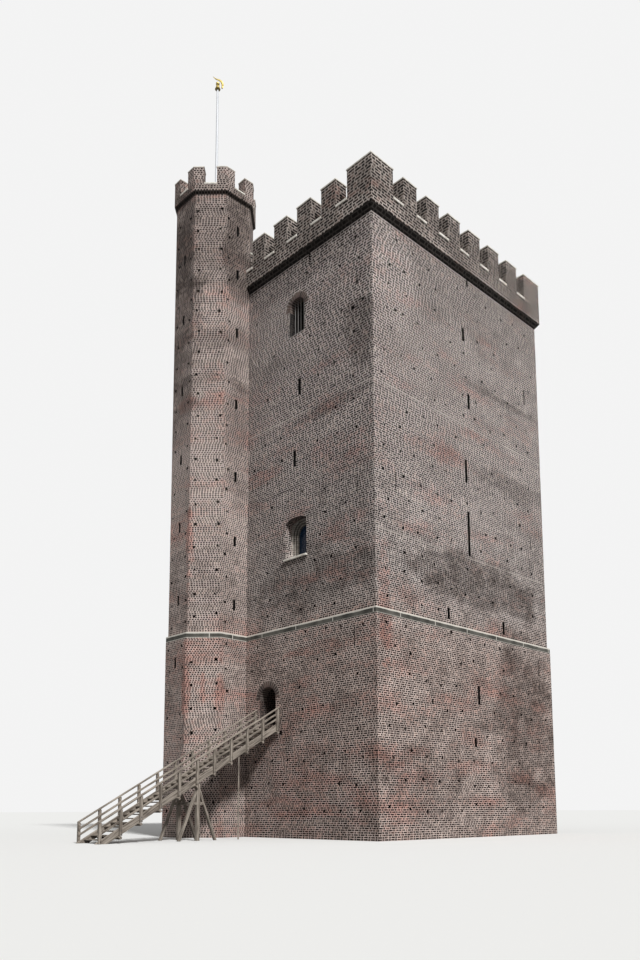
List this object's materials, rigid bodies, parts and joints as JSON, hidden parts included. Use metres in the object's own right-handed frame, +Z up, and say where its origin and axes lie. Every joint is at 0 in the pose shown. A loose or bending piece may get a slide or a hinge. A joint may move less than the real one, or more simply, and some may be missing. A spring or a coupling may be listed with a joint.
{
  "type": "castle keep, 1:2 scale model",
  "caption": "Square medieval brick keep with battlements, an octagonal stair turret, a timber stair to its raised door and a turning vane; scale model 1:2.",
  "frame": {"origin": "on the ground under the middle of the keep, on the underside of its cellar floor", "axes": "+Z up, -Y out of the front wall, -X out of the wall with the door and the turret"},
  "size_m": [12.9636, 7.868, 23.304],
  "materials": {
    "brick": "rough",
    "stone": "rough",
    "floor_stone": "rough",
    "roof_paving": "rough",
    "weathered_timber": "rough",
    "floor_boards": "matte",
    "white_paint": "satin",
    "gilding": "polished",
    "window_glass": "polished"
  },
  "bodies": {
    "keep": {"brick_arches": "brick", "cellar_floor": "floor_stone", "crenel_sills": "stone", "door_piers": "brick", "entrance_floor": "floor_boards", "entrance_parapet": "brick", "entrance_wall_base": "brick", "entrance_wall_over_door": "brick", "entrance_wall_upper": "brick", "far_parapet": "brick", "far_railing": "weathered_timber", "far_wall_lower": "brick", "far_wall_upper": "brick", "flagpole": "white_paint", "flagpole_foot": "floor_stone", "front_parapet": "brick", "front_wall_lower": "brick", "front_wall_upper": "brick", "keep_merlons": "brick", "merlon_copings": "stone", "near_railing": "weathered_timber", "rear_parapet": "brick", "rear_wall_lower": "brick", "rear_wall_upper": "brick", "roof_deck": "roof_paving", "stair_cross_beams": "weathered_timber", "stair_stringers": "weathered_timber", "stair_treads": "weathered_timber", "stair_trestle": "weathered_timber", "string_course": "stone", "turret_merlons": "brick", "turret_parapet": "brick", "turret_roof": "roof_paving", "turret_wall_front": "brick", "turret_wall_front_corner": "brick", "turret_wall_outer": "brick", "turret_wall_rear": "brick", "turret_wall_rear_corner": "brick", "turret_wall_roof_side": "brick", "upper_floors": "floor_boards", "window_glass": "window_glass", "window_sill": "stone", "window_surround": "brick"},
    "vane": {"vane_cap": "gilding", "vane_streamer": "gilding"}
  },
  "joints": [
    {"name": "vane_turn", "type": "hinge", "parent": "keep", "child": "vane", "pos_m": [-4.251, 2.109, 22.9], "axis": [0, 0, 1], "continuous": true}
  ]
}
